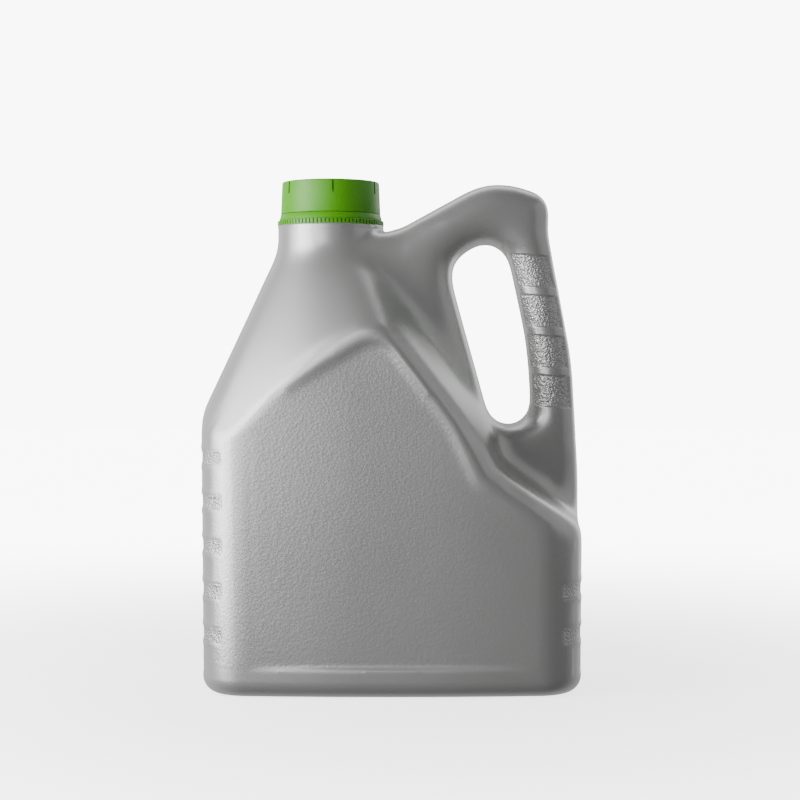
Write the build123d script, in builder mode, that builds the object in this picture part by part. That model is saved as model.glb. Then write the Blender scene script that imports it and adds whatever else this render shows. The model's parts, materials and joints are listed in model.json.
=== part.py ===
from build123d import *
import math
import os

os.makedirs("parts", exist_ok=True)

# Canister for four litres of liquid cleaner: a blow-moulded bottle with a hollow grip,
# closed by a screw cap with a liner and a tamper band.
# Millimetres, +X to the grip, -Y to the viewer, +Z up, origin at the centre of the foot.

# Body
body_width = 204.4
body_depth = 122.0
body_draft = 0.42
shoulder_line = 141.0
body_height = 250.0
corner_radius = 24.0
face_crown = 3.0
side_crown = 1.2
foot_radius = 9.0
wall = 1.2

# Foot: the hollow under the base
push_up = 2.0
foot_rim = 15.0
hollow_corner_radius = 14.0
foot_steps = 6

# Shoulder: a cone from the neck down to a six-sided outline
neck_offset = -33.8
neck_base_radius = 29.0
neck_base_height = 13.3
neck_blend_radius = 18.0
shoulder_corner_radius = 32.0
arch_radius = 20.0
saddle_radius = 15.0
ridge_radius = 8.0
cone_drop_share = 0.4
cone_reach_share = 1.25
thick_floor_share = 0.49
ridge_floor_share = 0.95
ridge_slope_share = 0.9
ridge_turn = 8.0
shoulder_shares = [(-0.524, 0.377), (0.099, 0.948), (0.281, 0.180)]

# Handle plate: outline as shares of the body's width and height, plan as shares of width and depth
handle_shares = [
    (-0.1653, 0.160), (0.4887, 0.144), (0.5000, 0.440), (0.4829, 0.700), (0.4150, 0.992),
    (0.4260, 1.064), (0.2620, 1.102), (0.0080, 0.9864), (-0.1653, 0.960),
]
root_radius = 12.0
heel_radius = 150.0
bow_radius = 200.0
thumb_radius = 25.0
nose_radius = 11.0
crest_radius = 38.0
plan_shares = [(-0.2244, 0.246), (0.5679, 0.1066)]
grip_round = 9.0

# Finger hole: shares of the body's width and height
hole_shares = [(0.1506, 0.914), (0.2923, 0.996), (0.3597, 0.740), (0.3725, 0.566), (0.2662, 0.566)]
hole_top_radius = 10.0
hole_crown_radius = 13.0
hole_foot_radius = 11.0
mould_draft = 6.4

# Scoop beside the grip
scoop_drop_share = 0.194
scoop_rise_share = 0.6
scoop_end_shares = (0.577, 0.330)
scoop_out_share = 0.75

# Label panel: a flat let into the crowned face
panel_depth = 1.8
panel_foot = 15.6
panel_shares = [(-0.480, 0.545), (-0.0285, 0.764), (0.1496, 0.567), (0.2156, 0.447), (0.480, 0.288)]
panel_foot_radius = 6.0
panel_arch_radius = 14.0
panel_turn_radius = 60.0
panel_elbow_radius = 10.0

# Textured grip recesses on the body's corners
side_grip_depth = 0.6
side_grip_height = 7.8
side_grip_reach = 13.0
side_grip_pitch = 23.25
side_grip_low = 32.3
left_grip_count = 5
right_grip_count = 2

# Textured patches on the handle
patch_depth = 0.5
patch_length = 16.0
patch_width = 20.0
patch_corner_radius = 1.5
patch_count = 4
patch_shares = [(0.3753, 0.900), (0.4075, 0.769), (0.4257, 0.639)]
patch_lean = 3.0

# Neck finish, above the ledge that the tamper band stands on
bore_radius = 21.7
finish_radius = 23.8
finish_height = 20.8
ledge_wall = 2.0
bead_radius = 26.0
bead_height = 2.0
bead_rise = 2.1

# Tamper band
band_height = 5.9
band_radius = 28.0
tooth_ring_radius = 29.1
tooth_ring_height = 2.6
tooth_depth = 0.6
tooth_count = 96
band_gap = 0.35
hook_height = 1.0
slit = 0.35

# Cap
cap_top_radius = 26.6
cap_foot_radius = 27.3
cap_plate = 1.8
thread_room = 1.7
cap_edge_cut = 0.7
notch_count = 6
notch_width = 1.2
notch_depth = 0.7
notch_height = 7.0
notch_turn = -88.0

# Liner
liner_thickness = 1.2
liner_overhang = 0.3

# Overrun of cutting tools, and how near counts as touching
over = 30.0
touch = 0.001

draft_slope = math.tan(math.radians(body_draft))
base_width = body_width - 2 * draft_slope * (shoulder_line - foot_radius)
base_depth = body_depth - 2 * draft_slope * (shoulder_line - foot_radius)
cone_top = body_height - neck_base_height
cone_drop = cone_drop_share * body_height
finish_top = body_height + finish_height
neck_plane = Plane((neck_offset, 0, 0), x_dir=(1, 0, 0), z_dir=(0, -1, 0))
neck_axis = Axis((neck_offset, 0, 0), (0, 0, 1))


def face_points(shares):
    """Points of the front view, from shares of the body's width and height."""
    return [(x * body_width, z * body_height) for x, z in shares]


def plan_points(shares, inset):
    """Points of the plan, from shares of the body's width and depth."""
    return [(x * body_width, y * body_depth - inset) for x, y in shares]


def body_section(width, depth, inset):
    """Crowned rectangle with round corners, drawn in by inset."""
    half_width, half_depth = width / 2 - inset, depth / 2 - inset
    side, front = half_width - side_crown, half_depth - face_crown
    with BuildSketch() as section:
        with BuildLine():
            ThreePointArc((-side, -front), (0, -half_depth), (side, -front))
            ThreePointArc((side, -front), (half_width, 0), (side, front))
            ThreePointArc((side, front), (0, half_depth), (-side, front))
            ThreePointArc((-side, front), (-half_width, 0), (-side, -front))
        make_face()
        fillet(section.vertices(), corner_radius - inset)
    return section.sketch


def body_block(inset):
    """The body's walls and foot, carried on upwards past the shoulder."""
    radius = foot_radius - inset
    hollow = (base_width - 2 * foot_rim, base_depth - 2 * foot_rim)
    with BuildPart() as block:
        for step in range(foot_steps + 1):
            turn = math.pi / 2 * step / foot_steps
            with BuildSketch(Plane.XY.offset(inset + radius * (1 - math.cos(turn)))):
                add(body_section(base_width, base_depth, inset + radius * (1 - math.sin(turn))))
        loft(ruled=True)
        with BuildSketch(Plane.XY.offset(foot_radius)):
            add(body_section(base_width, base_depth, inset))
        extrude(amount=cone_top - foot_radius, taper=-body_draft)
        for height, grown in ((0, inset), (push_up + inset, inset - push_up)):
            with BuildSketch(Plane.XY.offset(height)):
                RectangleRounded(hollow[0] + 2 * grown, hollow[1] + 2 * grown, hollow_corner_radius + grown)
        loft(ruled=True, mode=Mode.SUBTRACT)
    return block.part


def shoulder_cone(inset):
    """Ruled cone from the neck's circle down to the shoulder's six-sided outline."""
    corners = [(x * body_width, y * body_depth) for x, y in shoulder_shares]
    outline = [(x, -y) for x, y in corners] + [(x, y) for x, y in reversed(corners)]
    radii = [shoulder_corner_radius, arch_radius, saddle_radius]
    with BuildSketch() as low:
        with BuildLine():
            FilletPolyline(*outline, radius=radii + radii[::-1], close=True)
        make_face()
        if inset > 0:
            offset(amount=-inset)
    centre = Vector(neck_offset, 0)
    ring_radius = neck_base_radius - inset

    def ring(reach):
        """The outline drawn in towards the neck's circle, which it meets at reach 0."""
        def moved(point):
            arm = Vector(point.X, point.Y) - centre
            return centre + arm.normalized() * (ring_radius + (arm.length - ring_radius) * reach)
        with BuildLine() as line:
            for edge in low.face().outer_wire().order_edges():
                start, middle, end = moved(edge @ 0), moved(edge @ 0.5), moved(edge @ 1)
                if reach > 0 and edge.geom_type == GeomType.LINE:
                    Line(start, end)
                else:
                    ThreePointArc(start, middle, end)
        return line.line

    with BuildPart() as cone:
        with BuildSketch(Plane.XY.offset(cone_top - cone_drop * cone_reach_share)):
            add(ring(cone_reach_share))
            make_face()
        with BuildSketch(Plane.XY.offset(cone_top)):
            add(ring(0))
            make_face()
        loft(ruled=True)
    return cone.part


def between(solid, edge):
    """The two faces that meet at an edge."""
    return [face for face in solid.faces() if any(edge.is_same(other) for other in face.edges())]


def crest_edges(solid, tool):
    """The edges that a cutting tool has left where it leaves the solid's old faces."""
    crests = []
    for edge in solid.edges():
        cut = [face for face in between(solid, edge) if lies_on(face, tool)]
        if len(cut) == 1:
            crests.append(edge)
    return crests


def lies_on(face, tool):
    """True if a face is part of a tool's surface."""
    return any(other.distance_to(face.center()) < touch for other in tool.faces())


def ridge_edges(solid):
    """The sharp, nearly level edges between the shoulder and the body's walls."""
    ridges = []
    for edge in solid.edges():
        level = abs((edge % 0.5).Z) < ridge_slope_share
        if not level or not ridge_floor_share * shoulder_line < edge.center().Z < cone_top - neck_base_height:
            continue
        near, far = between(solid, edge)
        if near.normal_at(edge @ 0.5).get_angle(far.normal_at(edge @ 0.5)) > ridge_turn:
            ridges.append(edge)
    return ridges


def finger_hole(inset):
    """The finger hole, opening out from the parting plane to both sides."""
    radii = [hole_top_radius, hole_crown_radius, bow_radius, hole_foot_radius, hole_foot_radius]
    with BuildPart() as hole:
        with BuildSketch(Plane.XZ):
            with BuildLine():
                FilletPolyline(*face_points(hole_shares), radius=radii, close=True)
            make_face()
            if inset > 0:
                offset(amount=inset)
        extrude(amount=body_depth / 2, taper=-mould_draft, both=True)
    return hole.part


def scoop(inset):
    """What is cleared away beside the grip: the hole's front wall carried down to a sloping shelf."""
    top, foot = face_points([hole_shares[0], hole_shares[-1]])
    run, fall = foot[0] - top[0], foot[1] - top[1]
    above = (top[0] - run * scoop_rise_share, top[1] - fall * scoop_rise_share)
    below = (foot[0] + run * scoop_drop_share, foot[1] + fall * scoop_drop_share)
    end = face_points([scoop_end_shares])[0]
    reach = scoop_out_share * body_width
    with BuildPart() as tool:
        with BuildSketch(Plane.XZ):
            with BuildLine():
                Polyline(above, below, end, (reach, end[1]), (reach, above[1]), close=True)
            make_face()
            if inset > 0:
                offset(amount=inset, kind=Kind.INTERSECTION)
        extrude(amount=body_depth / 2 + over, taper=-mould_draft, both=True)
    return tool.part


def handle_outline(inset):
    """Front view of the web and grip, with its hidden root inside the body."""
    radii = [
        root_radius, root_radius, heel_radius, bow_radius, thumb_radius,
        nose_radius, crest_radius, root_radius, root_radius,
    ]
    with BuildSketch(Plane.XZ) as outline:
        with BuildLine():
            FilletPolyline(*face_points(handle_shares), radius=radii, close=True)
        make_face()
        if inset > 0:
            offset(amount=-inset)
    return outline.sketch


def handle_plate(inset, rounding):
    """The web and grip: the front outline crossed with the plan."""
    plan = plan_points(plan_shares, inset)
    with BuildPart() as plate:
        with BuildSketch(Plane.XZ):
            add(handle_outline(inset))
        extrude(amount=body_depth / 2, both=True)
        with BuildSketch(Plane.XY):
            with BuildLine():
                Polyline(*[(x, -y) for x, y in plan], *plan[::-1], close=True)
            make_face()
        extrude(amount=finish_top + over, mode=Mode.INTERSECT)
        flanks = plate.faces().sort_by(SortBy.AREA)[-2:]
        fillet(flanks.edges(), rounding)
    return plate.part


def handle(inset):
    """The web and grip with the finger hole through them."""
    with BuildPart() as body:
        add(handle_plate(inset, grip_round - inset))
        before = body.faces()
        add(finger_hole(inset), mode=Mode.SUBTRACT)
        flanks = body.faces().sort_by(SortBy.AREA)[-2:]
        old = [edge.center() for face in before for edge in face.edges()]
        rim = [edge for edge in flanks.edges() if all((edge.center() - place).length > wall for place in old)]
        fillet(rim, grip_round - inset)
    return body.part


def label_panel(inset):
    """What is cleared in front of the label panel: a flat, cut to the panel's outline."""
    foot_depth = base_depth / 2 - panel_depth - inset
    reach = panel_foot - inset
    outline = face_points(panel_shares)
    left, right = outline[0][0], outline[-1][0]
    points = [(left, reach)] + outline + [(right, reach)]
    radii = [
        panel_foot_radius, panel_foot_radius, panel_arch_radius, panel_turn_radius,
        panel_elbow_radius, panel_foot_radius, panel_foot_radius,
    ]
    with BuildPart() as panel:
        with BuildSketch(Plane.XZ):
            with BuildLine():
                FilletPolyline(*points, radius=radii, close=True)
            make_face()
            if inset > 0:
                offset(amount=inset)
        extrude(amount=body_depth)
        with BuildSketch(Plane.YZ):
            with BuildLine():
                Polyline(
                    (-foot_depth, 0), (-foot_depth - draft_slope * body_height, body_height),
                    (-body_depth, body_height), (-body_depth, 0), close=True,
                )
            make_face()
        extrude(amount=body_width, both=True, mode=Mode.INTERSECT)
    return panel.part


def scooped_block(inset):
    """The body's walls with the scoop beside the grip, its crest rounded."""
    tool = scoop(inset)
    with BuildPart() as block:
        add(body_block(inset))
        add(tool, mode=Mode.SUBTRACT)
        fillet(crest_edges(block.part, tool), ridge_radius - inset)
    return block.part


def bottle_form(inset):
    """The closed form of the blown bottle without its neck finish, drawn in by inset."""
    with BuildPart() as form:
        add(shoulder_cone(inset))
        with BuildSketch(Plane.XY):
            Rectangle(body_width + over, body_depth + over)
        extrude(amount=thick_floor_share * body_height)
        add(scooped_block(inset), mode=Mode.INTERSECT)
        fillet(ridge_edges(form.part), ridge_radius - inset)
        with BuildSketch(Plane.XY.offset(cone_top)):
            with Locations((neck_offset, 0)):
                Circle(neck_base_radius - inset)
        extrude(amount=neck_base_height - inset * ledge_wall / wall)
        rings = form.edges().filter_by(GeomType.CIRCLE).filter_by_position(Axis.Z, cone_top, cone_top)
        fillet(rings, neck_blend_radius)
        add(handle(inset))
        add(label_panel(inset), mode=Mode.SUBTRACT)
        add(mirror(label_panel(inset), about=Plane.XZ, mode=Mode.PRIVATE), mode=Mode.SUBTRACT)
    return form.part


def side_grips():
    """Shallow recesses round the body's corners, in a row up each side."""
    with BuildPart() as grips:
        for side, count in ((-1, left_grip_count), (1, right_grip_count)):
            places = [
                (side * (body_width / 2 + over / 2 - side_grip_reach), 0, side_grip_low + row * side_grip_pitch)
                for row in range(count)
            ]
            with Locations(*places):
                Box(over, body_depth + over, side_grip_height)
        add(body_block(side_grip_depth), mode=Mode.SUBTRACT)
    return grips.part


def handle_patches():
    """Shallow four-sided recesses down the grip, on both its faces."""
    path = ThreePointArc(*face_points(patch_shares), mode=Mode.PRIVATE)
    tilt = math.radians(patch_lean)
    across = Vector(math.cos(tilt), -math.sin(tilt)) * patch_width / 2
    with BuildPart() as patches:
        with BuildSketch(Plane.XZ):
            for patch in range(patch_count):
                reach = patch / (patch_count - 1)
                middle, along = path @ reach, (path % reach) * patch_length / 2
                upper, lower = middle - along, middle + along
                corners = [upper - across, upper + across, lower + across, lower - across]
                with BuildLine():
                    FilletPolyline(*corners, radius=patch_corner_radius, close=True)
                make_face()
        extrude(amount=body_depth / 2, both=True)
        add(handle_plate(patch_depth, grip_round - patch_depth), mode=Mode.SUBTRACT)
    return patches.part


def turned(profile):
    """A ring turned about the neck's axis from its radius and height points."""
    with BuildPart() as ring:
        with BuildSketch(neck_plane):
            with BuildLine():
                Polyline(*profile, close=True)
            make_face()
        revolve(axis=neck_axis)
    return ring.part


# Bottle: one blown piece with its neck finish
ledge_floor = body_height - ledge_wall
bead_low = body_height + bead_rise
bead_top = bead_low + bead_height
bead_slope = bead_radius - finish_radius

with BuildPart() as bottle:
    add(bottle_form(0))
    add(side_grips(), mode=Mode.SUBTRACT)
    add(handle_patches(), mode=Mode.SUBTRACT)
    add(bottle_form(wall), mode=Mode.SUBTRACT)
    add(turned([
        (bore_radius, ledge_floor), (bore_radius, finish_top), (finish_radius, finish_top),
        (finish_radius, bead_top + bead_slope), (bead_radius, bead_top), (bead_radius, bead_low),
        (finish_radius, bead_low), (finish_radius, ledge_floor),
    ]))
    with BuildSketch(Plane.XY.offset(cone_top)):
        with Locations((neck_offset, 0)):
            Circle(bore_radius)
    extrude(amount=finish_top - cone_top + over, mode=Mode.SUBTRACT)
bottle.part.label = "bottle"
export_step(bottle.part, "parts/bottle.step")


# Tamper band: stays on the neck under its bead, with a toothed ring at the foot
band_bore = bead_radius + band_gap
hook_radius = finish_radius + band_gap
band_top = body_height + band_height


def tooth_points():
    """Crests and roots round the toothed ring."""
    points = []
    for tooth in range(2 * tooth_count):
        radius = tooth_ring_radius - tooth_depth * (tooth % 2)
        turn = math.pi * tooth / tooth_count
        points.append((radius * math.cos(turn), radius * math.sin(turn)))
    return points


with BuildPart() as tamper_band:
    add(turned([
        (hook_radius, body_height), (hook_radius, body_height + hook_height), (band_bore, bead_low),
        (band_bore, band_top), (band_radius, band_top), (band_radius, body_height),
    ]))
    with BuildSketch(Plane((neck_offset, 0, body_height))):
        with BuildLine():
            Polyline(*tooth_points(), close=True)
        make_face()
        Circle(band_bore + band_gap, mode=Mode.SUBTRACT)
    extrude(amount=tooth_ring_height)
tamper_band.part.label = "tamper_band"
export_step(tamper_band.part, "parts/tamper_band.step")


# Liner: a disc held in the cap, pressed on the neck's lip
cap_bore = finish_radius + thread_room
liner_radius = finish_radius + liner_overhang

with BuildPart() as cap_liner:
    with BuildSketch(Plane.XY.offset(finish_top)):
        with Locations((neck_offset, 0)):
            Circle(liner_radius)
    extrude(amount=liner_thickness)
cap_liner.part.label = "cap_liner"
export_step(cap_liner.part, "parts/cap_liner.step")


# Cap: a plate and a tapered skirt, with room for the thread inside and notches in its rim
cap_foot = band_top + slit
cap_ceiling = finish_top + liner_thickness
cap_top = cap_ceiling + cap_plate

with BuildPart() as cap:
    add(turned([
        (cap_bore, cap_foot), (cap_bore, cap_ceiling), (0, cap_ceiling), (0, cap_top),
        (cap_top_radius, cap_top), (cap_foot_radius, cap_foot),
    ]))
    chamfer(cap.edges().group_by(Axis.Z)[-1], cap_edge_cut)
    with Locations((neck_offset, 0, cap_top - notch_height / 2)):
        with PolarLocations(cap_top_radius, notch_count, start_angle=notch_turn):
            Box(2 * notch_depth, notch_width, notch_height, mode=Mode.SUBTRACT)
cap.part.label = "cap"
export_step(cap.part, "parts/cap.step")
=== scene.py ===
"""Looks of a four-litre canister for liquid cleaner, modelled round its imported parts."""

import json
import math

import bmesh
import bpy
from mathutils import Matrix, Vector

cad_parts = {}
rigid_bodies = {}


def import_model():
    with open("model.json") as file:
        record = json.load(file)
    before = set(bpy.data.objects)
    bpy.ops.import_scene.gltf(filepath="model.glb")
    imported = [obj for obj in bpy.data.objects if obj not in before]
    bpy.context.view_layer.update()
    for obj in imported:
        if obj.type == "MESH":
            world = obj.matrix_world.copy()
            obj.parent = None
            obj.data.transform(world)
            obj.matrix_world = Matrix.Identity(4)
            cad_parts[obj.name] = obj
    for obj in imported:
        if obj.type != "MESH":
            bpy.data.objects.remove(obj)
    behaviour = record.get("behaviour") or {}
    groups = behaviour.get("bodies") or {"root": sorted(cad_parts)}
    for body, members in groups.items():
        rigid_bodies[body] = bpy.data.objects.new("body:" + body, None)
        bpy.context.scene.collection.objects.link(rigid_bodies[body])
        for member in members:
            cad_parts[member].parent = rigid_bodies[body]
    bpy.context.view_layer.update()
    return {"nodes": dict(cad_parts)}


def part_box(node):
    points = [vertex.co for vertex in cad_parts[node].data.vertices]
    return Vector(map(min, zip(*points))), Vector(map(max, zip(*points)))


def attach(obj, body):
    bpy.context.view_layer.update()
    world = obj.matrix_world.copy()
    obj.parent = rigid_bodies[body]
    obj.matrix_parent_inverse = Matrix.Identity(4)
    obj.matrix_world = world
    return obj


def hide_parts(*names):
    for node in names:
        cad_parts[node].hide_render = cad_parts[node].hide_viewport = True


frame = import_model()

bl_info = {
    "name": "Canister Looks",
    "version": (1, 0, 0),
    "blender": (4, 5, 0),
    "location": "View3D > Sidebar > Canister",
    "description": "Blown bottle, screw cap and tamper band of a canister, with a stage",
    "category": "Object",
}

MM = 0.001

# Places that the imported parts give, in metres
BAND_LOW, BAND_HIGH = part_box("tamper_band")
CAP_LOW, CAP_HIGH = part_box("cap")
NECK_X = (BAND_LOW.x + BAND_HIGH.x) / 2
BODY_WIDTH = 204.4 * MM
BODY_HEIGHT = BAND_LOW.z
NECK_BASE_RADIUS = 29 * MM

# Blown wall: its thickness and the bow of its fronts
WALL = 1.2 * MM
CROWN_START, CROWN_SHARE = 20 * MM, 0.04
CROWN_FADE = 140 * MM, 190 * MM
# How it is made: cells of the offset forms in mesh steps, longest offset in one go, inner faces
# that stay, rounds of smoothing by place, and how far below the seam each wall ends
COARSE_VOXEL, LONGEST_STEP, INNER_SHARE = 1.3, 4.5 * MM, 0.12
SMOOTH_FACTOR, SOFTER_ROUNDS = 0.5, {"web": 220, "arch": 40, "neck_foot": 150}
OUTER_DROP, INNER_DROP = 1.2 * MM, 4 * MM
# Heights at which the softer places set in, are full, are still full, and have ended
WEB_HEIGHTS = 85 * MM, 110 * MM, 244 * MM, 252 * MM
NECK_FOOT_HEIGHTS = 220 * MM, 230 * MM, 244 * MM, 248 * MM
ROUND_GRIP_HEIGHTS = 138 * MM, 155 * MM, 226 * MM, 242 * MM
GRIP_HEIGHTS = 138 * MM, 150 * MM, 230 * MM, 242 * MM
# Distances from the neck's axis: where creases turn soft, and where the neck's foot ends
NECK_FADE = NECK_BASE_RADIUS + 2 * MM, NECK_BASE_RADIUS + 6 * MM
NECK_FOOT_REACH = 48 * MM
# Largest angle between faces that are shaded as one, on the bottle and on the closure
BOTTLE_ANGLE, CLOSURE_ANGLE = math.radians(38), math.radians(35)

# Label panel and the grip's patches: points in the front view, as shares of the body's width and
# height. The panel lies further out than its reach
PANEL = [(-0.480, 0.545), (-0.0285, 0.764), (0.1496, 0.567), (0.2156, 0.447), (0.480, 0.288)]
PANEL_FOOT, PANEL_REACH = 15.6 * MM, 48 * MM
PATCH_BOW = [(0.3753, 0.900), (0.4075, 0.769), (0.4257, 0.639)]
PATCHES = 4
PATCH_LENGTH, PATCH_WIDTH, PATCH_LEAN = 16.8 * MM, 19.6 * MM, 0.07
# Margins of a patch: where its rim falls, its grain ends, and its faces are halved or kept
PATCH_RIM, PATCH_GRAIN = (-0.6 * MM, 0.4 * MM), (-1 * MM, 0)
PATCH_HALVED, PATCH_KEPT = (1.5 * MM, 1.6 * MM), (4 * MM, 5 * MM)
# Grip beside the finger hole: where it begins, its half round, and the round's shift sideways
GRIP_START, GRIP_RADIUS, GRIP_CROWN, GRIP_SHIFT = 60 * MM, 13 * MM, 15.4 * MM, 0.8 * MM

# Corner grips: height of the lowest, pitch, height of each and reach round the corner, and rows
CORNER_LOW, CORNER_PITCH, CORNER_HEIGHT, CORNER_REACH = 32.3 * MM, 23.25 * MM, 7.8 * MM, 13 * MM
CORNER_ROWS_LEFT, CORNER_ROWS_RIGHT = 5, 2

# Neck finish, screw cap, tamper band and threads
FINISH_RADIUS, CAP_BORE = 23.8 * MM, 25.5 * MM
BAND_HOOK, BAND_BORE, TOOTH_HEIGHT = 24.15 * MM, 26.35 * MM, 2.6 * MM
NOTCHES, CAP_STEPS, SLITS_PER_TOOTH = 6, 192, 3
THREAD_PITCH, THREAD_TURNS, THREAD_START = 4.2 * MM, 1.75, 8.4 * MM
THREAD_DEPTH, THREAD_FOOT, THREAD_CREST, THREAD_SINK = 1.2 * MM, 2.2 * MM, 1.0 * MM, 0.3 * MM
THREAD_RUN_OUT, THREAD_STEPS = 0.08, 168

# Stage: glow of the backdrop, painted glow of the floor round the canister, size of floor and
# backdrop, camera, and the lamps round the canister
BACKDROP_LIGHT, FLOOR_LIGHT, FLOOR_RADIUS = 9.0, 2.6, 4.0
CAMERA_SIDE, CAMERA_HEIGHT, CAMERA_TILT, SENSOR_WIDTH = 4.2 * MM, 175.1 * MM, 1.17, 36
LAMP_TARGET = Vector((0, 0, 0.14))
# Name, azimuth and height in degrees, distance and size in metres, power in watts
LAMPS = [
    ("key_softbox", -58, 10, 0.6, (0.3, 0.6), 4.0),
    ("key_left", -40, 10, 0.75, (0.3, 0.6), 1.0),
    ("key_front", -22, 10, 0.9, (0.3, 0.6), 1.8),
    ("key_edge", -75, 10, 0.5, (0.25, 0.5), 1.7),
    ("right_fill", 75, 20, 1.2, (1.0, 1.0), 1.2),
    ("rim_left", -140, 15, 0.8, (0.3, 0.9), 0.4),
    ("rim_right", 140, 15, 0.8, (0.3, 0.9), 1.2),
    ("rim_top", 180, 65, 0.8, (0.9, 0.3), 1.5),
]


def linear(hex_colour):
    """An sRGB hex colour as linear red, green and blue."""
    channels = [int(hex_colour[i:i + 2], 16) / 255 for i in (1, 3, 5)]
    return tuple(c / 12.92 if c <= 0.04045 else ((c + 0.055) / 1.055) ** 2.4 for c in channels)


# ------------------------------------------------------------------ settings


class CanisterBottle(bpy.types.PropertyGroup):
    """Sizes and colour of the blown bottle."""
    colour: bpy.props.FloatVectorProperty(
        name="Silver", description="Colour of the silver-pigmented wall",
        subtype="COLOR", min=0, max=1, default=linear("#bcbebc"))
    voxel: bpy.props.FloatProperty(
        name="Mesh Step", description="Size of the cells that the outer wall is remeshed to",
        default=1.0 * MM, min=0.5 * MM, max=4 * MM, subtype="DISTANCE", unit="LENGTH")
    seam: bpy.props.FloatProperty(
        name="Neck Seam", description="Height at which the soft wall meets the exact neck",
        default=BODY_HEIGHT - 1 * MM, subtype="DISTANCE", unit="LENGTH")
    kept_share: bpy.props.FloatProperty(
        name="Kept Faces", description="Share of the remeshed faces that the finished wall keeps",
        default=0.34, min=0.05, max=1, subtype="FACTOR")
    hollow_radius: bpy.props.FloatProperty(
        name="Hollow Radius", description="Smallest radius that the blown wall has in its hollows",
        default=8 * MM, min=1 * MM, max=9 * MM, subtype="DISTANCE", unit="LENGTH")
    edge_radius: bpy.props.FloatProperty(
        name="Edge Radius", description="Smallest radius that the blown wall has on its edges",
        default=10 * MM, min=1 * MM, max=11 * MM, subtype="DISTANCE", unit="LENGTH")
    patch_depth: bpy.props.FloatProperty(
        name="Patch Depth", description="How deep the etched patches lie in the grip",
        default=0.8 * MM, min=0, max=1 * MM, subtype="DISTANCE", unit="LENGTH")


class CanisterCap(bpy.types.PropertyGroup):
    """Colour and sizes of the screw cap and its tamper band."""
    colour: bpy.props.FloatVectorProperty(
        name="Green", description="Colour of the cap and the tamper band",
        subtype="COLOR", min=0, max=1, default=linear("#52a802"))
    taper: bpy.props.FloatProperty(
        name="Taper", description="How much the cap's radius falls from foot to top",
        default=0.7 * MM, min=0, subtype="DISTANCE", unit="LENGTH")
    notch_width: bpy.props.FloatProperty(
        name="Notch Width", description="Width of the notches in the cap's rim",
        default=1.2 * MM, min=0, subtype="DISTANCE", unit="LENGTH")
    notch_depth: bpy.props.FloatProperty(
        name="Notch Depth", description="Depth of the notches in the cap's rim",
        default=0.7 * MM, min=0, subtype="DISTANCE", unit="LENGTH")
    notch_height: bpy.props.FloatProperty(
        name="Notch Height", description="How far the notches run down from the cap's top",
        default=7 * MM, min=0, subtype="DISTANCE", unit="LENGTH")
    notch_turn: bpy.props.FloatProperty(
        name="Notch Turn", description="Angle of the first notch about the neck",
        default=math.radians(-85), subtype="ANGLE", unit="ROTATION")
    teeth: bpy.props.IntProperty(
        name="Teeth", description="Teeth round the tamper band's foot", default=84, min=12)
    tooth_depth: bpy.props.FloatProperty(
        name="Tooth Depth", description="Depth of the pockets between the teeth",
        default=1.0 * MM, min=0, subtype="DISTANCE", unit="LENGTH")


class CanisterStage(bpy.types.PropertyGroup):
    """Floor, camera and light."""
    floor_colour: bpy.props.FloatVectorProperty(
        name="Floor", description="Colour of the floor",
        subtype="COLOR", min=0, max=1, default=linear("#f4f4f2"))
    lens: bpy.props.FloatProperty(
        name="Lens", description="Focal length of the camera", default=81.8, unit="CAMERA")
    distance: bpy.props.FloatProperty(
        name="Camera Distance", description="From the camera to the canister's middle plane",
        default=1.0, subtype="DISTANCE", unit="LENGTH")


# ------------------------------------------------------------------ small helpers


def add_node(tree, kind, settings=(), links=()):
    """Adds a node. Settings are its own by name, or its inputs' by name or number, and links feed
    its inputs."""
    node = tree.nodes.new(kind)
    for name, value in dict(settings).items():
        if isinstance(name, str) and hasattr(node, name):
            setattr(node, name, value)
        else:
            node.inputs[name].default_value = value
    for name, socket in dict(links).items():
        tree.links.new(socket, node.inputs[name])
    return node


def new_material(name):
    """An empty node material with its output."""
    material = bpy.data.materials.new(name)
    material.use_nodes = True
    material.node_tree.nodes.clear()
    output = add_node(material.node_tree, "ShaderNodeOutputMaterial")
    return material, material.node_tree, output


def select_only(obj):
    """Leaves one object selected and active."""
    bpy.ops.object.select_all(action="DESELECT")
    obj.select_set(True)
    bpy.context.view_layer.objects.active = obj


def select_open_edges(obj, low, high, clear=0):
    """In edit mode, selects the edges that don't join two faces, between two heights and at
    least as far from the neck's axis as clear says."""
    bpy.ops.mesh.select_mode(type="EDGE")
    bpy.ops.mesh.select_all(action="DESELECT")
    mesh = bmesh.from_edit_mesh(obj.data)
    for edge in mesh.edges:
        place = edge.verts[0].co
        if len(edge.link_faces) != 2 and low < place.z < high and neck_reach(place) >= clear:
            edge.select_set(True)
    bmesh.update_edit_mesh(obj.data)


def select_faces(obj, wanted):
    """In edit mode, selects the faces whose centre is wanted."""
    bpy.ops.mesh.select_mode(type="FACE")
    bpy.ops.mesh.select_all(action="DESELECT")
    mesh = bmesh.from_edit_mesh(obj.data)
    for face in mesh.faces:
        if wanted(face.calc_center_median()):
            face.select_set(True)
    bmesh.update_edit_mesh(obj.data)


def copy_of(obj, name):
    """A linked copy of an object with a mesh of its own."""
    copy = bpy.data.objects.new(name, obj.data.copy())
    bpy.context.collection.objects.link(copy)
    return copy


def apply_modifier(obj, kind, **settings):
    """Adds a modifier with its settings and applies it."""
    select_only(obj)
    modifier = obj.modifiers.new(kind.title(), kind)
    for name, value in settings.items():
        setattr(modifier, name, value)
    bpy.ops.object.modifier_apply(modifier=modifier.name)


def smooth(obj, rounds, group=""):
    """Smooths a form, all over or where a vertex group says."""
    apply_modifier(obj, "SMOOTH", factor=SMOOTH_FACTOR, iterations=rounds, vertex_group=group)


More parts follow.
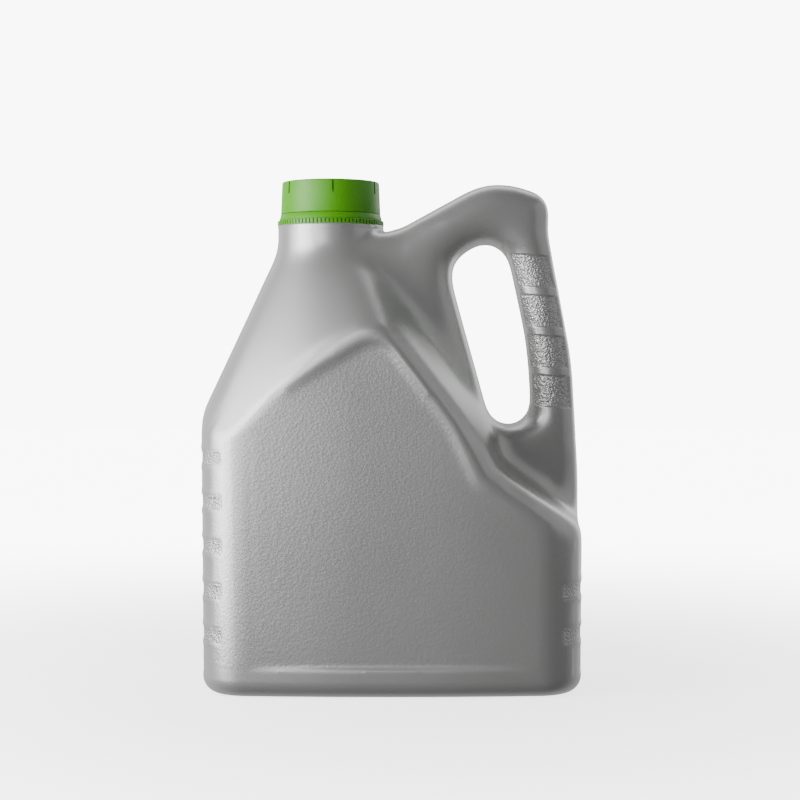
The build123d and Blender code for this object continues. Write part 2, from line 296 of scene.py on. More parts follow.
def remesh(obj, voxel, rounds):
    """Remeshes a closed form to even cells and takes the steps out of it."""
    apply_modifier(obj, "REMESH", mode="VOXEL", voxel_size=voxel, adaptivity=0)
    smooth(obj, rounds)


def offset_wall(obj, distance, voxel):
    """Moves a closed form's wall outwards or inwards in short steps, merging what meets."""
    steps = math.ceil(abs(distance) / LONGEST_STEP)
    for _ in range(steps):
        apply_modifier(
            obj, "DISPLACE", strength=distance / steps, mid_level=0, direction="NORMAL")
        remesh(obj, voxel, 4)


def paint(obj, name, cover):
    """Makes a vertex group whose weight at each point is given by its cover."""
    group = obj.vertex_groups.new(name=name)
    for vertex in obj.data.vertices:
        weight = cover(vertex.co)
        if weight > 0.001:
            group.add([vertex.index], weight, "REPLACE")


def face_points(shares):
    """Points of the front view in metres, from shares of the body's width and height."""
    return [Vector((x * BODY_WIDTH, z * BODY_HEIGHT)) for x, z in shares]


def panel_outline():
    """The label panel's closed outline in the front view."""
    points = face_points(PANEL)
    return [Vector((points[0].x, PANEL_FOOT)), *points, Vector((points[-1].x, PANEL_FOOT))]


def outline_distance(point, outline):
    """Distance from a point of the front view to a closed outline, positive inside."""
    inside, nearest = False, math.inf
    for start, end in zip(outline, outline[1:] + outline[:1]):
        edge = end - start
        reach = max(0, min(1, (point - start).dot(edge) / edge.length_squared))
        nearest = min(nearest, (start + edge * reach - point).length)
        if (start.y > point.y) != (end.y > point.y):
            if point.x < start.x + edge.x * (point.y - start.y) / edge.y:
                inside = not inside
    return nearest if inside else -nearest


def panel_depth(place):
    """How far a point lies inside the label panel's outline, negative outside it."""
    return outline_distance(Vector((place.x, place.z)), PANEL_OUTLINE)


def neck_reach(place):
    """Distance of a point from the neck's axis."""
    return math.hypot(place.x - NECK_X, place.y)


def ramp(value, low, high):
    """Smooth step from 0 at low to 1 at high."""
    t = max(0, min(1, (value - low) / (high - low)))
    return t * t * (3 - 2 * t)


def between(value, low, full, still, high):
    """Smooth step up from low to full, and down again from still to high."""
    return ramp(value, low, full) * (1 - ramp(value, still, high))


PANEL_OUTLINE = panel_outline()


# ------------------------------------------------------------------ materials


def silver_polyethylene(colour):
    """HDPE with silver pigment, blow-moulded: a satin wall, broad soft highlights, leather grain
    where the mould is etched, and an orange-peel unevenness that the eye sees in the highlights.
    Both grains are drawn at about their size in the photo."""
    cloud, peel_size, leather_size, etch_size = 60 * MM, 9 * MM, 1.5 * MM, 1.1 * MM
    swirl_size, swirl_reach = 1.6 * MM, 1.2 * MM
    material, tree, output = new_material("silver_hdpe_blow_moulded")
    place = add_node(tree, "ShaderNodeTexCoord").outputs["Object"]
    leather = add_node(tree, "ShaderNodeAttribute", {"attribute_name": "leather"}).outputs["Fac"]
    coarse = add_node(tree, "ShaderNodeAttribute", {"attribute_name": "coarse"}).outputs["Fac"]

    drift = add_node(
        tree, "ShaderNodeTexNoise", {"Scale": 1 / cloud, "Detail": 2.0}, {"Vector": place})
    tone = add_node(
        tree, "ShaderNodeMix",
        {"data_type": "RGBA", 6: (*[c * 0.94 for c in colour], 1), 7: (*colour, 1)},
        {0: drift.outputs["Fac"]})
    gloss = add_node(
        tree, "ShaderNodeMapRange", {"To Min": 0.31, "To Max": 0.37},
        {"Value": drift.outputs["Fac"]})
    peel = add_node(
        tree, "ShaderNodeTexNoise", {"Scale": 1 / peel_size, "Detail": 2.0}, {"Vector": place})
    pores = add_node(
        tree, "ShaderNodeTexVoronoi",
        {"Scale": 1 / leather_size, "feature": "SMOOTH_F1", "Smoothness": 0.6}, {"Vector": place})
    wave = add_node(
        tree, "ShaderNodeTexNoise", {"Scale": 1 / swirl_size, "Detail": 1.0}, {"Vector": place})
    swirl = add_node(
        tree, "ShaderNodeVectorMath", {"operation": "MULTIPLY_ADD", 1: (swirl_reach,) * 3},
        {0: wave.outputs["Color"], 2: place})
    etched = add_node(
        tree, "ShaderNodeTexVoronoi",
        {"Scale": 1 / etch_size, "feature": "SMOOTH_F1", "Smoothness": 0.4},
        {"Vector": swirl.outputs[0]})
    bump = add_node(
        tree, "ShaderNodeBump", {"Distance": 0.12 * MM, "Strength": 0.25},
        {"Height": peel.outputs["Fac"]})
    fine = add_node(
        tree, "ShaderNodeMath", {"operation": "MULTIPLY"},
        {0: pores.outputs["Distance"], 1: leather})
    bump = add_node(
        tree, "ShaderNodeBump", {"Distance": 0.1 * MM, "Strength": 0.6},
        {"Height": fine.outputs[0], "Normal": bump.outputs["Normal"]})
    deep = add_node(
        tree, "ShaderNodeMath", {"operation": "MULTIPLY"},
        {0: etched.outputs["Distance"], 1: coarse})
    bump = add_node(
        tree, "ShaderNodeBump", {"Distance": 0.5 * MM, "Strength": 0.9},
        {"Height": deep.outputs[0], "Normal": bump.outputs["Normal"]})
    shader = add_node(
        tree, "ShaderNodeBsdfPrincipled", {"Metallic": 0.65, "IOR": 1.54},
        {"Base Color": tone.outputs[2], "Roughness": gloss.outputs[0],
         "Normal": bump.outputs["Normal"]})
    tree.links.new(shader.outputs[0], output.inputs["Surface"])
    return material


def green_polyethylene(colour):
    """HDPE coloured through and injection-moulded: even green with a soft sheen, faintly
    uneven in the highlights."""
    material, tree, output = new_material("green_hdpe_injection_moulded")
    place = add_node(tree, "ShaderNodeTexCoord").outputs["Object"]
    drift = add_node(
        tree, "ShaderNodeTexNoise", {"Scale": 1 / (14 * MM), "Detail": 3.0}, {"Vector": place})
    tone = add_node(
        tree, "ShaderNodeMix",
        {"data_type": "RGBA", 6: (*[c * 0.9 for c in colour], 1), 7: (*colour, 1)},
        {0: drift.outputs["Fac"]})
    grain = add_node(
        tree, "ShaderNodeTexNoise", {"Scale": 1 / (1.1 * MM), "Detail": 2.0}, {"Vector": place})
    bump = add_node(
        tree, "ShaderNodeBump", {"Distance": 0.05 * MM, "Strength": 0.3},
        {"Height": grain.outputs["Fac"]})
    gloss = add_node(
        tree, "ShaderNodeMapRange", {"To Min": 0.38, "To Max": 0.46},
        {"Value": drift.outputs["Fac"]})
    shader = add_node(
        tree, "ShaderNodeBsdfPrincipled", {"IOR": 1.5},
        {"Base Color": tone.outputs[2], "Roughness": gloss.outputs[0],
         "Normal": bump.outputs["Normal"]})
    tree.links.new(shader.outputs[0], output.inputs["Surface"])
    return material


def white_foam():
    """Foamed polyethylene sheet, cut to a disc: matt white, with closed cells that show as
    dimples, drawn a little coarser than real."""
    material, tree, output = new_material("white_foamed_polyethylene")
    place = add_node(tree, "ShaderNodeTexCoord").outputs["Object"]
    cells = add_node(tree, "ShaderNodeTexVoronoi", {"Scale": 1 / (0.8 * MM)}, {"Vector": place})
    tone = add_node(
        tree, "ShaderNodeMix",
        {"data_type": "RGBA", 6: (*linear("#f2f1ec"), 1), 7: (*linear("#dcdad2"), 1)},
        {0: cells.outputs["Distance"]})
    bump = add_node(
        tree, "ShaderNodeBump", {"Distance": 0.1 * MM, "Strength": 0.4},
        {"Height": cells.outputs["Distance"]})
    shader = add_node(
        tree, "ShaderNodeBsdfPrincipled", {"IOR": 1.5, "Roughness": 0.7},
        {"Base Color": tone.outputs[2], "Normal": bump.outputs["Normal"]})
    tree.links.new(shader.outputs[0], output.inputs["Surface"])
    return material


# ------------------------------------------------------------------ pieces


class CANISTER_OT_bottle(bpy.types.Operator):
    """Softens the outer wall of the blown bottle and gives it its finish"""
    bl_idname = "canister.bottle"
    bl_label = "Blown Bottle"

    def execute(self, context):
        settings = context.scene.canister_bottle
        core = copy_of(frame["nodes"]["bottle"], "bottle_shell")
        core.data.materials.clear()
        outer = self.split_outer_wall(core, settings.seam)
        self.soften(outer, settings)
        inner = self.inner_wall(outer, settings)
        self.join_to_neck(core, outer, settings.seam, OUTER_DROP, NECK_BASE_RADIUS - WALL / 2)
        self.join_to_neck(core, inner, settings.seam, INNER_DROP, 0)
        self.mark_texture(core.data)
        select_only(core)
        bpy.ops.object.shade_smooth_by_angle(angle=BOTTLE_ANGLE)
        core.data.materials.append(silver_polyethylene(tuple(settings.colour)))
        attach(core, "bottle")
        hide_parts("bottle")
        return {"FINISHED"}

    def split_outer_wall(self, core, seam):
        """Cuts the walls off below the seam, drops the inner one and returns the outer one."""
        select_only(core)
        bpy.ops.object.mode_set(mode="EDIT")
        bpy.ops.mesh.select_all(action="SELECT")
        bpy.ops.mesh.remove_doubles(threshold=0.002 * MM)
        bpy.ops.mesh.bisect(plane_co=(0, 0, seam), plane_no=(0, 0, 1))
        bpy.ops.mesh.select_mode(type="EDGE")
        mesh = bmesh.from_edit_mesh(core.data)
        cuts = [edge for edge in mesh.edges if edge.select]
        for edge in cuts:
            edge.select_set(False)
        for edge in cuts:
            reach = neck_reach(edge.verts[0].co)
            edge.select_set(NECK_BASE_RADIUS - 1 * MM < reach < NECK_BASE_RADIUS + 1 * MM)
        bpy.ops.mesh.edge_split(type="EDGE")
        bpy.ops.mesh.select_all(action="DESELECT")
        mesh = bmesh.from_edit_mesh(core.data)
        bpy.ops.mesh.select_mode(type="VERT")
        mesh.verts.ensure_lookup_table()
        max(mesh.verts, key=lambda v: v.co.x).select_set(True)
        mesh.select_flush_mode()
        bmesh.update_edit_mesh(core.data)
        bpy.ops.mesh.select_linked()
        bpy.ops.mesh.separate(type="SELECTED")
        bpy.ops.object.mode_set(mode="OBJECT")
        outer = next(o for o in bpy.context.selected_objects if o is not core)
        outer.name = "outer_wall"

        select_only(core)
        bpy.ops.object.mode_set(mode="EDIT")
        bpy.ops.mesh.select_all(action="DESELECT")
        mesh = bmesh.from_edit_mesh(core.data)
        for vertex in mesh.verts:
            beside = neck_reach(vertex.co) > NECK_BASE_RADIUS + 0.5 * MM
            vertex.select_set(beside or vertex.co.z < seam - 0.01 * MM)
        bmesh.update_edit_mesh(core.data)
        bpy.ops.mesh.delete(type="VERT")
        bpy.ops.object.mode_set(mode="OBJECT")
        return outer

    def soften(self, outer, settings):
        """Remeshes the closed outer wall, gives it blown, soft creases and thins its flats."""
        select_only(outer)
        bpy.ops.object.mode_set(mode="EDIT")
        select_open_edges(outer, settings.seam - 1 * MM, math.inf)
        bpy.ops.mesh.edge_face_add()
        bpy.ops.object.mode_set(mode="OBJECT")
        remesh(outer, settings.voxel, 3)
        self.crown(outer)

        blown = copy_of(outer, "blown_form")
        hollow, edge = settings.hollow_radius, settings.edge_radius
        for offset in (hollow, -hollow - edge, edge):
            offset_wall(blown, offset, COARSE_VOXEL * settings.voxel)
        smooth(blown, 10)
        paint(outer, "soft", self.softness)
        apply_modifier(
            outer, "SHRINKWRAP", target=blown, wrap_method="NEAREST_SURFACEPOINT",
            vertex_group="soft")
        bpy.data.objects.remove(blown)
        smooth(outer, 8, "soft")
        for name, rounds in SOFTER_ROUNDS.items():
            paint(outer, name, getattr(self, name))
            smooth(outer, rounds, name)
        self.round_grip(outer)
        paint(outer, "grip", self.grip)
        smooth(outer, 16, "grip")

        self.refine_patches(outer)
        paint(outer, "patches", lambda place: patch_cover(place, PATCH_RIM))
        apply_modifier(
            outer, "DISPLACE", strength=-settings.patch_depth, mid_level=0, vertex_group="patches")
        paint(outer, "flats", self.flats)
        apply_modifier(outer, "DECIMATE", ratio=settings.kept_share, vertex_group="flats")
        outer.vertex_groups.clear()

    def crown(self, outer):
        """Draws the front and back in towards the body's corners, as a blown flat wall bows."""
        for vertex in outer.data.vertices:
            place = vertex.co
            side = max(0, abs(place.x) - CROWN_START) / (BODY_WIDTH / 2 - CROWN_START)
            place.y *= 1 - CROWN_SHARE * side ** 2 * (1 - ramp(place.z, *CROWN_FADE))

    def softness(self, place):
        """How far a point's creases run soft: all but the neck's foot, the panel and the grips."""
        cover = ramp(neck_reach(place), *NECK_FADE)
        if place.z < 236 * MM:
            cover = 1
        if abs(place.y) > PANEL_REACH:
            cover *= 1 - ramp(panel_depth(place), -9 * MM, -3 * MM)
        return cover * (1 - near_corner(place)) * ramp(place.z, 9 * MM, 15 * MM)

    def web(self, place):
        """The hollow between the shoulder and the web, which runs out widest."""
        limit = (88 - 40 * ramp(place.z, 125 * MM, 145 * MM)) * MM
        cover = between(place.x, -10 * MM, 10 * MM, limit - 10 * MM, limit)
        cover *= between(place.z, *WEB_HEIGHTS)
        cover *= 1 - ramp(panel_depth(place), -22 * MM, -9 * MM)
        return cover * ramp(neck_reach(place), *NECK_FADE)

    def arch(self, place):
        """The label panel's edge, blown soft on its sides and round its arch, crisp at its foot."""
        if abs(place.y) < PANEL_REACH:
            return 0
        cover = 1 - ramp(abs(panel_depth(place)), 4 * MM, 8 * MM)
        return cover * ramp(place.z, 20 * MM, 30 * MM) * (1 - near_corner(place))

    def neck_foot(self, place):
        """The hollow where the neck flares into the shoulder."""
        if neck_reach(place) > NECK_FOOT_REACH:
            return 0
        return between(place.z, *NECK_FOOT_HEIGHTS)

    def round_grip(self, outer):
        """Draws the grip's front and back in to half rounds, as a hand feels them."""
        high, _, low = face_points(PATCH_BOW)
        for vertex in outer.data.vertices:
            place = vertex.co
            cover = between(place.z, *ROUND_GRIP_HEIGHTS)
            if place.x < GRIP_START or cover == 0:
                continue
            middle, _ = patch_line((high.y - place.z) / (high.y - low.y))
            off = min(abs(place.x - middle.x - GRIP_SHIFT), 0.98 * GRIP_RADIUS)
            dome = GRIP_CROWN - GRIP_RADIUS + math.sqrt(GRIP_RADIUS ** 2 - off ** 2)
            over = abs(place.y) - dome
            if over > 0:
                place.y -= math.copysign(over * cover, place.y)

    def grip(self, place):
        """The grip beside the finger hole."""
        cover = between(place.z, *GRIP_HEIGHTS)
        return cover * ramp(place.x, GRIP_START, GRIP_START + 4 * MM)

    def refine_patches(self, outer):
        """Halves the faces in and round the grip's patches, so that their rims are crisp."""
        select_only(outer)
        bpy.ops.object.mode_set(mode="EDIT")
        select_faces(outer, lambda centre: patch_cover(centre, PATCH_HALVED) > 0.5)
        bpy.ops.mesh.subdivide(number_cuts=1, smoothness=0)
        bpy.ops.object.mode_set(mode="OBJECT")

    def flats(self, place):
        """All but the etched places and their rims: the faces that may be thinned."""
        inside = panel_depth(place) if abs(place.y) > PANEL_REACH else -1
        rim = 1 - ramp(abs(inside - 0.5 * MM), 1.5 * MM, 2.5 * MM)
        return 1 - max(patch_cover(place, PATCH_KEPT), near_corner(place), rim)

    def inner_wall(self, outer, settings):
        """The inside of the blown wall, one thickness in from its outside."""
        inner = copy_of(outer, "inner_wall")
        offset_wall(inner, -WALL, COARSE_VOXEL * settings.voxel)
        apply_modifier(inner, "DECIMATE", ratio=INNER_SHARE)
        return inner

    def join_to_neck(self, core, wall, seam, drop, clear):
        """Opens a wall's top a drop below the seam and bridges it to the neck."""
        below = seam - drop

        def top(centre, floor):
            return neck_reach(centre) < NECK_BASE_RADIUS + 2 * MM and centre.z > floor

        select_only(wall)
        bpy.ops.object.mode_set(mode="EDIT")
        select_faces(wall, lambda centre: top(centre, below - 4 * MM))
        bpy.ops.mesh.bisect(plane_co=(NECK_X, 0, below), plane_no=(0, 0, 1))
        select_faces(wall, lambda centre: top(centre, below))
        bpy.ops.mesh.delete(type="FACE")
        bpy.ops.object.mode_set(mode="OBJECT")
        select_only(core)
        wall.select_set(True)
        bpy.ops.object.join()
        bpy.ops.object.mode_set(mode="EDIT")
        select_open_edges(core, below - 1 * MM, math.inf, clear)
        bpy.ops.mesh.bridge_edge_loops()
        bpy.ops.mesh.select_all(action="SELECT")
        bpy.ops.mesh.normals_make_consistent(inside=False)
        bpy.ops.object.mode_set(mode="OBJECT")

    def mark_texture(self, mesh):
        """Writes where the mould is etched: fine leather on the panel, coarse in the grips."""
        leather = mesh.attributes.new("leather", "FLOAT", "POINT")
        coarse = mesh.attributes.new("coarse", "FLOAT", "POINT")
        for vertex in mesh.vertices:
            place = vertex.co
            if abs(place.y) > PANEL_REACH + 2 * MM:
                leather.data[vertex.index].value = ramp(panel_depth(place), 0, 1.5 * MM)
            coarse.data[vertex.index].value = max(
                patch_cover(place, PATCH_GRAIN), ramp(corner_depth(place), 0, 0.8 * MM))


def patch_line(t):
    """Point and direction of the grip's bowed middle line, from 0 at its first patch to 1."""
    start, middle, end = face_points(PATCH_BOW)
    point = start * (1 - t) * (1 - 2 * t) + middle * 4 * t * (1 - t) + end * t * (2 * t - 1)
    along = start * (4 * t - 3) + middle * (4 - 8 * t) + end * (4 * t - 1)
    return point, along.normalized()


def patch_cover(place, margins):
    """1 within a grip patch's first margin, seen from the front, falling to 0 at its second."""
    if place.x < 55 * MM or place.z < 135 * MM:
        return 0
    cover = 0
    for patch in range(PATCHES):
        centre, along = patch_line(patch / (PATCHES - 1))
        offset = Vector((place.x, place.z)) - centre
        rise = offset.y + PATCH_LEAN * offset.x
        across = offset.x - offset.y * along.x / along.y
        reach = max(abs(rise) - PATCH_LENGTH / 2, abs(across) - PATCH_WIDTH / 2)
        cover = max(cover, 1 - ramp(reach, *margins))
    return cover


def corner_depth(place):
    """How far a point lies inside the nearest corner grip, negative outside it."""
    row = round((place.z - CORNER_LOW) / CORNER_PITCH)
    if not 0 <= row < (CORNER_ROWS_LEFT if place.x < 0 else CORNER_ROWS_RIGHT):
        return -math.inf
    side = abs(place.x) - (BODY_WIDTH / 2 - CORNER_REACH)
    return min(side, CORNER_HEIGHT / 2 - abs(place.z - CORNER_LOW - row * CORNER_PITCH))


def near_corner(place):
    """1 in a corner grip and just round it, falling to 0 a few millimetres away."""
    return ramp(corner_depth(place), -4 * MM, -1.5 * MM)


def turned(name, outline, steps):
    """Turns a closed outline of radius and height points about the neck's axis."""
    bpy.ops.object.select_all(action="DESELECT")
    bpy.ops.mesh.primitive_circle_add(vertices=len(outline), radius=10 * MM)
    ring = bpy.context.object
    ring.name = name
    for vertex, (radius, height) in zip(ring.data.vertices, outline):
        vertex.co = Vector((NECK_X, 0, height)) + Vector((radius, 0, 0))
    bpy.ops.object.mode_set(mode="EDIT")
    bpy.ops.mesh.select_all(action="SELECT")
    bpy.ops.mesh.spin(steps=steps, angle=math.tau, center=(NECK_X, 0, 0), axis=(0, 0, 1))
    bpy.ops.mesh.select_all(action="SELECT")
    bpy.ops.mesh.remove_doubles(threshold=0.01 * MM)
    bpy.ops.mesh.normals_make_consistent(inside=False)
    bpy.ops.object.mode_set(mode="OBJECT")
    return ring


def finish_piece(obj, material, body):
    """Smooths a piece's shading, gives it its finish and lets it ride on its body."""
    select_only(obj)
    bpy.ops.object.shade_smooth_by_angle(angle=CLOSURE_ANGLE)
    obj.data.materials.clear()
    obj.data.materials.append(material)
    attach(obj, body)


def thread_rib(name, radius, inward, start):
    """A thread's rib, wound about the neck's axis and run out at both ends."""
    bpy.ops.object.select_all(action="DESELECT")
    bpy.ops.mesh.primitive_circle_add(vertices=4, radius=1 * MM)
    rib = bpy.context.object
    rib.name = name
    side = -1 if inward else 1
    foot, crest = THREAD_FOOT / 2, THREAD_CREST / 2
    outline = [
        (-THREAD_SINK, -foot), (THREAD_DEPTH, -crest), (THREAD_DEPTH, crest), (-THREAD_SINK, foot)]
    for vertex, (rise, height) in zip(rib.data.vertices, outline):
        vertex.co = (radius + side * rise, 0, start + height)
    apply_modifier(
        rib, "SCREW", angle=math.tau * THREAD_TURNS, screw_offset=THREAD_PITCH * THREAD_TURNS,
        axis="Z", steps=THREAD_STEPS, render_steps=THREAD_STEPS)
    for vertex in rib.data.vertices:
        place = vertex.co
        angle = math.atan2(place.y, place.x) / math.tau
        turn = angle + round((place.z - start) / THREAD_PITCH - angle)
        run_out = ramp(min(turn, THREAD_TURNS - turn), -0.01, THREAD_RUN_OUT)
        reach = math.hypot(place.x, place.y)
        root = radius - side * THREAD_SINK
        scale = (root + (reach - root) * run_out) / reach
        place.x, place.y = place.x * scale + NECK_X, place.y * scale
    select_only(rib)
    bpy.ops.object.mode_set(mode="EDIT")
    select_open_edges(rib, -math.inf, math.inf)
    bpy.ops.mesh.fill_holes(sides=0)
    bpy.ops.mesh.select_all(action="SELECT")
    bpy.ops.mesh.normals_make_consistent(inside=False)
    bpy.ops.object.mode_set(mode="OBJECT")
    return rib


class CANISTER_OT_closure(bpy.types.Operator):
    """Models the screw cap, its tamper band and the two threads, and finishes the liner"""
    bl_idname = "canister.closure"
    bl_label = "Cap, Band, Threads and Liner"

    def execute(self, context):
        settings = context.scene.canister_cap
        green = green_polyethylene(tuple(settings.colour))
        cap = self.cap(settings)
        finish_piece(cap, green, "cap")
        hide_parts("cap")
        band = self.band(settings)
        finish_piece(band, green, "bottle")
        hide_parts("tamper_band")
        start = BODY_HEIGHT + THREAD_START
        inner_thread = thread_rib("cap_thread", CAP_BORE, True, start + THREAD_PITCH / 2)
        finish_piece(inner_thread, green, "cap")
        silver = bpy.data.materials["silver_hdpe_blow_moulded"]
        outer_thread = thread_rib("neck_thread", FINISH_RADIUS, False, start)
        finish_piece(outer_thread, silver, "bottle")
        frame["nodes"]["cap_liner"].material_slots[0].material = white_foam()
        return {"FINISHED"}

    def cap(self, settings):
        """A plate and a tapered skirt with rounded edges, and six notches cut in the rim."""
        foot, top = CAP_LOW.z, CAP_HIGH.z
        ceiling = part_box("cap_liner")[1].z
        wide = (CAP_HIGH.x - CAP_LOW.x) / 2
        narrow = wide - settings.taper
        cap = turned("screw_cap", [
            (0, top), (narrow - 0.8 * MM, top), (narrow - 0.35 * MM, top - 0.1 * MM),
            (narrow - 0.1 * MM, top - 0.35 * MM), (narrow, top - 0.8 * MM),
            (wide, foot + 0.3 * MM), (wide - 0.1 * MM, foot + 0.1 * MM), (wide - 0.3 * MM, foot),
            (CAP_BORE + 0.3 * MM, foot), (CAP_BORE, foot + 0.3 * MM), (CAP_BORE, ceiling),
            (0, ceiling),
        ], CAP_STEPS)
        cutters = []
        for notch in range(NOTCHES):
            bpy.ops.object.select_all(action="DESELECT")
            bpy.ops.mesh.primitive_cube_add(size=1)
            cutter = bpy.context.object
            cutter.scale = (
                2 * settings.notch_depth, settings.notch_width, 2 * settings.notch_height)
            angle = settings.notch_turn + math.tau * notch / NOTCHES
            cutter.location = (NECK_X + narrow * math.cos(angle), narrow * math.sin(angle), top)
            cutter.rotation_euler = (0, 0, angle)
            bpy.ops.object.transform_apply(location=True, rotation=True, scale=True)
            cutters.append(cutter)
        select_only(cutters[0])
        for cutter in cutters:
            cutter.select_set(True)
        bpy.ops.object.join()
        apply_modifier(cap, "BOOLEAN", operation="DIFFERENCE", object=cutters[0], solver="EXACT")
        bpy.data.objects.remove(cutters[0])
        return cap

    def band(self, settings):
        """A ring that flares down to a groove and a foot with pockets between its teeth."""
        foot, top = BAND_LOW.z, BAND_HIGH.z + 0.15 * MM
        tip = (BAND_HIGH.x - BAND_LOW.x) / 2
        ring = foot + TOOTH_HEIGHT
        slits = SLITS_PER_TOOTH * settings.teeth

        def pocket(centre):
            angle = math.atan2(centre.y, centre.x - NECK_X) / math.tau
            on_rim = neck_reach(centre) > tip - 0.05 * MM
            return on_rim and round(angle * slits - 0.5) % SLITS_PER_TOOTH == 0

        band = turned("tamper_band_ring", [
            (BAND_HOOK, foot), (BAND_HOOK, foot + 1 * MM), (BAND_BORE, foot + 2.1 * MM),
            (BAND_BORE, top), (tip - 1.9 * MM, top), (tip - 1.7 * MM, top - 0.2 * MM),
            (tip - 1.0 * MM, ring + 0.5 * MM), (tip - 1.2 * MM, ring + 0.3 * MM),
            (tip - 1.2 * MM, ring + 0.1 * MM), (tip - 0.9 * MM, ring),
            (tip - 0.2 * MM, ring - 0.1 * MM), (tip, ring - 0.3 * MM), (tip, foot + 0.2 * MM),
            (tip - 0.15 * MM, foot),
        ], slits)
        select_only(band)
        bpy.ops.object.mode_set(mode="EDIT")
        select_faces(band, pocket)
        bpy.ops.mesh.extrude_region_shrink_fatten(
            TRANSFORM_OT_shrink_fatten={"value": -settings.tooth_depth})
        bpy.ops.object.mode_set(mode="OBJECT")
        return band


# ------------------------------------------------------------------ stage


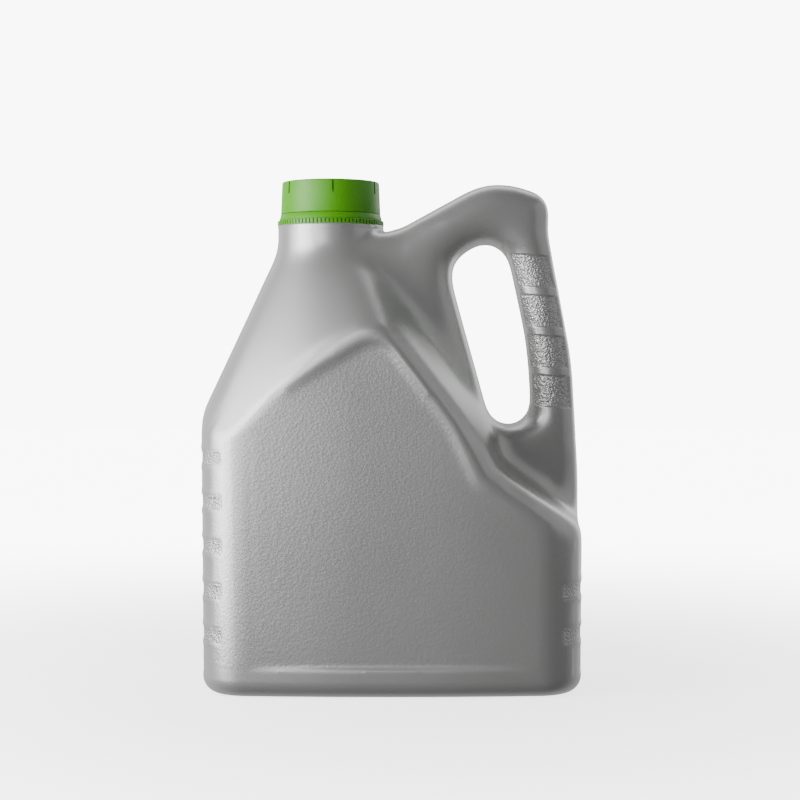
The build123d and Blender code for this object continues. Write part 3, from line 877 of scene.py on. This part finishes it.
class CANISTER_OT_stage(bpy.types.Operator):
    """Sets the pale floor, the soft lights and the camera"""
    bl_idname = "canister.stage"
    bl_label = "Stage"

    def execute(self, context):
        settings = context.scene.canister_stage
        self.floor(tuple(settings.floor_colour))
        self.backdrop()
        self.world()
        for name, azimuth, height, distance, size, power in LAMPS:
            self.light(name, azimuth, height, distance, size, power)
        camera = bpy.data.objects.new("camera", bpy.data.cameras.new("camera"))
        context.collection.objects.link(camera)
        camera.data.sensor_width = SENSOR_WIDTH
        camera.data.lens = settings.lens
        camera.location = (CAMERA_SIDE, -settings.distance, CAMERA_HEIGHT)
        camera.rotation_euler = (math.radians(90 - CAMERA_TILT), 0, 0)
        context.scene.camera = camera
        return {"FINISHED"}

    def floor(self, colour):
        """A pale round board that glows with painted light, dimmer round the canister and brighter
        towards its edge, so that it reads white. It gives no light back.
        """
        bpy.ops.object.select_all(action="DESELECT")
        bpy.ops.mesh.primitive_circle_add(vertices=96, radius=FLOOR_RADIUS, fill_type="NGON")
        board = bpy.context.object
        board.name = "floor_board"
        board.visible_diffuse = False
        board.visible_glossy = False
        material, tree, output = new_material("pale_board_painted_glow")
        place = add_node(tree, "ShaderNodeTexCoord").outputs["Object"]
        reach = add_node(tree, "ShaderNodeVectorMath", {"operation": "LENGTH"}, {0: place})
        # painted light: the board's own glow, weaker near the canister and stronger towards its
        # edge
        glow = add_node(
            tree, "ShaderNodeMapRange",
            {"interpolation_type": "SMOOTHSTEP", "From Min": 0.1, "From Max": 0.9,
             "To Min": FLOOR_LIGHT, "To Max": BACKDROP_LIGHT},
            {"Value": reach.outputs["Value"]})
        shader = add_node(
            tree, "ShaderNodeBsdfPrincipled",
            {"Base Color": (*colour, 1), "Roughness": 0.6, "Emission Color": (1, 1, 1, 1)},
            {"Emission Strength": glow.outputs[0]})
        tree.links.new(shader.outputs[0], output.inputs["Surface"])
        board.data.materials.append(material)

    def backdrop(self):
        """A white dome that only the camera sees."""
        bpy.ops.object.select_all(action="DESELECT")
        bpy.ops.mesh.primitive_uv_sphere_add(
            segments=48, ring_count=24, radius=0.98 * FLOOR_RADIUS)
        dome = bpy.context.object
        dome.name = "white_backdrop"
        for ray in ("diffuse", "glossy", "transmission", "volume_scatter", "shadow"):
            setattr(dome, "visible_" + ray, False)
        material, tree, output = new_material("white_lit_backdrop")
        shader = add_node(
            tree, "ShaderNodeEmission", {"Color": (1, 1, 1, 1), "Strength": BACKDROP_LIGHT})
        tree.links.new(shader.outputs[0], output.inputs["Surface"])
        dome.data.materials.append(material)

    def world(self):
        """The light of a pale room: dim in front of the canister, brighter behind it."""
        world = bpy.data.worlds.new("studio")
        bpy.context.scene.world = world
        world.use_nodes = True
        tree = world.node_tree
        tree.nodes.clear()
        direction = add_node(tree, "ShaderNodeTexCoord").outputs["Generated"]
        axes = add_node(tree, "ShaderNodeSeparateXYZ", links={0: direction})
        strength = add_node(
            tree, "ShaderNodeMapRange",
            {"interpolation_type": "SMOOTHSTEP", "From Min": -0.3, "From Max": 0.8,
             "To Min": 0.12, "To Max": 0.75},
            {"Value": axes.outputs["Y"]})
        shader = add_node(
            tree, "ShaderNodeBackground", {"Color": (1, 1, 1, 1)},
            {"Strength": strength.outputs[0]})
        output = add_node(tree, "ShaderNodeOutputWorld")
        tree.links.new(shader.outputs[0], output.inputs["Surface"])

    def light(self, name, azimuth, height, distance, size, power):
        """A soft lamp turned to the canister, its azimuth counted from the camera to the right."""
        turn, rise = math.radians(azimuth), math.radians(height)
        level = math.cos(rise)
        way = Vector((math.sin(turn) * level, -math.cos(turn) * level, math.sin(rise)))
        lamp = bpy.data.lights.new(name, "AREA")
        lamp.shape, lamp.energy = "RECTANGLE", power
        lamp.size, lamp.size_y = size
        obj = bpy.data.objects.new(name, lamp)
        bpy.context.collection.objects.link(obj)
        obj.visible_camera = False
        obj.location = LAMP_TARGET + distance * way
        obj.rotation_euler = (-way).to_track_quat("-Z", "Y").to_euler()


class CANISTER_PT_panel(bpy.types.Panel):
    """Lists the canister's settings and its operators"""
    bl_idname = "CANISTER_PT_panel"
    bl_label = "Canister"
    bl_space_type = "VIEW_3D"
    bl_region_type = "UI"
    bl_category = "Canister"

    def draw(self, context):
        scene = context.scene
        for settings in (scene.canister_bottle, scene.canister_cap, scene.canister_stage):
            box = self.layout.box()
            for name in settings.__annotations__:
                box.prop(settings, name)
        for operator in OPERATORS:
            self.layout.operator(operator.bl_idname)


SETTINGS = {
    "canister_bottle": CanisterBottle,
    "canister_cap": CanisterCap,
    "canister_stage": CanisterStage,
}
OPERATORS = [CANISTER_OT_bottle, CANISTER_OT_closure, CANISTER_OT_stage]


def register():
    """Registers the settings, the operators and the panel."""
    for name, group in SETTINGS.items():
        bpy.utils.register_class(group)
        setattr(bpy.types.Scene, name, bpy.props.PointerProperty(type=group))
    for kind in (*OPERATORS, CANISTER_PT_panel):
        bpy.utils.register_class(kind)


def unregister():
    """Takes them out again, last first."""
    for kind in (CANISTER_PT_panel, *reversed(OPERATORS)):
        bpy.utils.unregister_class(kind)
    for name, group in SETTINGS.items():
        delattr(bpy.types.Scene, name)
        bpy.utils.unregister_class(group)


def main():
    """Builds every piece and the stage."""
    register()
    bpy.ops.canister.bottle()
    bpy.ops.canister.closure()
    bpy.ops.canister.stage()


if __name__ == "__main__":
    main()
